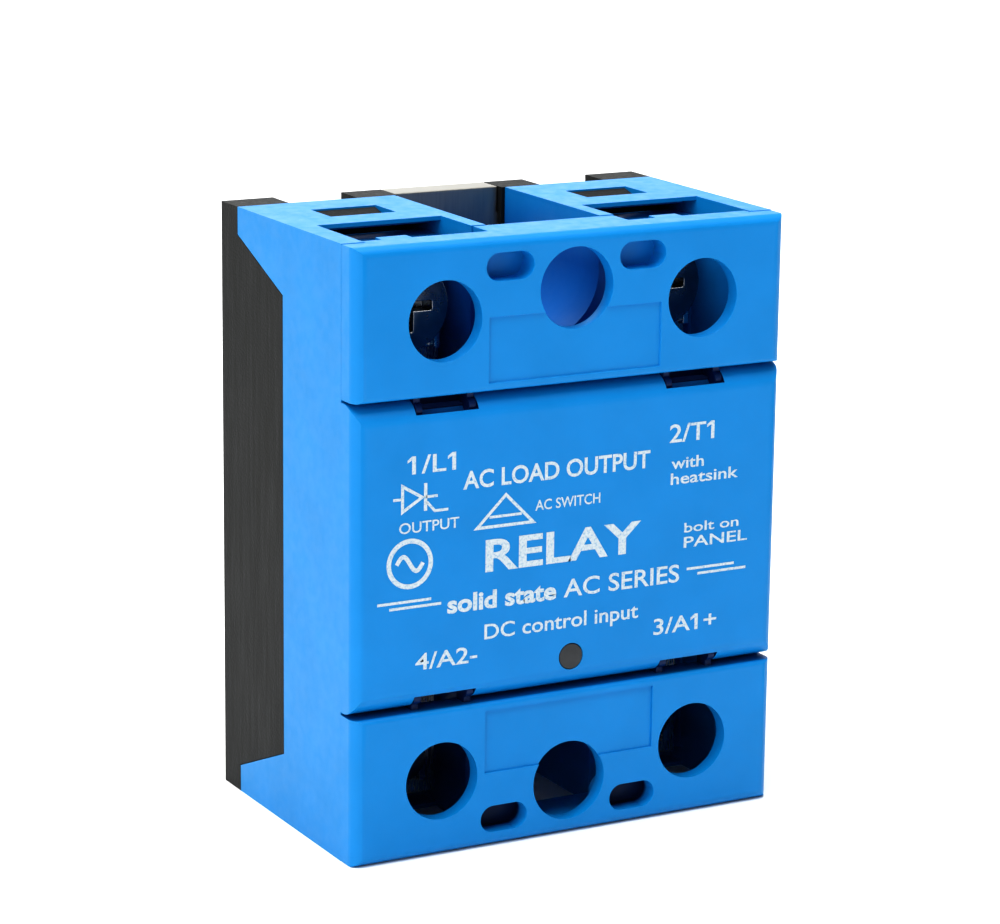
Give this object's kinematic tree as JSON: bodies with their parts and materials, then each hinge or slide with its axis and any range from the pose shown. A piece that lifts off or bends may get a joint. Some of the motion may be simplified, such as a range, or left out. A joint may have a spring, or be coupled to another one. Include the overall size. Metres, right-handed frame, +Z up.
{
  "type": "solid state relay",
  "caption": "Panel-mount solid state relay: blue housing on a black frame with a metal baseplate, hinged covers over screw terminals with captive clamp plates.",
  "frame": {"origin": "centre of the mounting face, on the back of the baseplate", "axes": "+Z up along the long way as it stands, +X to the right seen from the front, the front faces -Y and the mounting face looks along +Y"},
  "size_m": [0.0454, 0.029, 0.0582],
  "materials": {
    "housing_blue": "satin",
    "cover_blue": "satin",
    "frame_black": "matt, fine vertical grain",
    "plate_metal": "satin nickel plate",
    "ceramic_white": "matt",
    "copper": "satin copper",
    "silicon": "satin",
    "tinned_metal": "satin tin plate",
    "nut_metal": "zinc plate",
    "clamp_metal": "zinc plate",
    "screw_metal": "bright nickel plate",
    "board_green": "satin lacquer",
    "chip_black": "matt",
    "capacitor_yellow": "satin",
    "resistor_grey": "satin",
    "resistor_tan": "satin",
    "varistor_blue": "satin",
    "led_green": "gloss",
    "lens_grey": "gloss"
  },
  "bodies": {
    "relay": {"baseplate": "plate_metal", "base_frame": "frame_black", "housing": "housing_blue", "substrate": "ceramic_white", "copper_left": "copper", "copper_right": "copper", "thyristor_a": "silicon", "thyristor_b": "silicon", "clip_a": "copper", "clip_b": "copper", "gate_pin_a": "tinned_metal", "gate_pin_b": "tinned_metal", "snubber_pin_a": "tinned_metal", "snubber_pin_b": "tinned_metal", "driver_board": "board_green", "optocoupler": "chip_black", "snubber_capacitor": "capacitor_yellow", "snubber_resistor": "resistor_grey", "input_resistor": "resistor_tan", "varistor": "varistor_blue", "status_led": "led_green", "led_lens": "lens_grey", "terminal_l1": "tinned_metal", "terminal_t1": "tinned_metal", "terminal_a1": "tinned_metal", "terminal_a2": "tinned_metal", "nut_l1": "nut_metal", "nut_t1": "nut_metal", "nut_a1": "nut_metal", "nut_a2": "nut_metal"},
    "upper_cover": {"upper_cover": "cover_blue"},
    "lower_cover": {"lower_cover": "cover_blue"},
    "clamp_l1": {"clamp_l1": "clamp_metal"},
    "screw_l1": {"screw_l1": "screw_metal"},
    "clamp_t1": {"clamp_t1": "clamp_metal"},
    "screw_t1": {"screw_t1": "screw_metal"},
    "clamp_a1": {"clamp_a1": "clamp_metal"},
    "screw_a1": {"screw_a1": "screw_metal"},
    "clamp_a2": {"clamp_a2": "clamp_metal"},
    "screw_a2": {"screw_a2": "screw_metal"}
  },
  "joints": [
    {"name": "upper_cover_hinge", "type": "hinge", "parent": "relay", "child": "upper_cover", "pos_m": [0, -0.02775, 0.0136], "axis": [1, 0, 0], "range_deg": [0, 85]},
    {"name": "lower_cover_hinge", "type": "hinge", "parent": "relay", "child": "lower_cover", "pos_m": [0, -0.02775, -0.0136], "axis": [-1, 0, 0], "range_deg": [0, 85]},
    {"name": "clamp_l1_slide", "type": "slide", "parent": "relay", "child": "clamp_l1", "axis": [0, -1, 0], "range_m": [0, 0.0032]},
    {"name": "screw_l1_turn", "type": "hinge", "parent": "clamp_l1", "child": "screw_l1", "pos_m": [-0.01362, -0.02, 0.0218], "axis": [0, -1, 0], "range_deg": [0, 1441]},
    {"name": "clamp_t1_slide", "type": "slide", "parent": "relay", "child": "clamp_t1", "axis": [0, -1, 0], "range_m": [0, 0.0032]},
    {"name": "screw_t1_turn", "type": "hinge", "parent": "clamp_t1", "child": "screw_t1", "pos_m": [0.01362, -0.02, 0.0218], "axis": [0, -1, 0], "range_deg": [0, 1441]},
    {"name": "clamp_a1_slide", "type": "slide", "parent": "relay", "child": "clamp_a1", "axis": [0, -1, 0], "range_m": [0, 0.003]},
    {"name": "screw_a1_turn", "type": "hinge", "parent": "clamp_a1", "child": "screw_a1", "pos_m": [0.01362, -0.02, -0.0218], "axis": [0, -1, 0], "range_deg": [0, 2161]},
    {"name": "clamp_a2_slide", "type": "slide", "parent": "relay", "child": "clamp_a2", "axis": [0, -1, 0], "range_m": [0, 0.003]},
    {"name": "screw_a2_turn", "type": "hinge", "parent": "clamp_a2", "child": "screw_a2", "pos_m": [-0.01362, -0.02, -0.0218], "axis": [0, -1, 0], "range_deg": [0, 2161]}
  ],
  "couplings": [
    {"joint": "screw_l1_turn", "follows": "clamp_l1_slide", "rad_per_m": 7854},
    {"joint": "screw_t1_turn", "follows": "clamp_t1_slide", "rad_per_m": 7854},
    {"joint": "screw_a1_turn", "follows": "clamp_a1_slide", "rad_per_m": 12566},
    {"joint": "screw_a2_turn", "follows": "clamp_a2_slide", "rad_per_m": 12566}
  ]
}
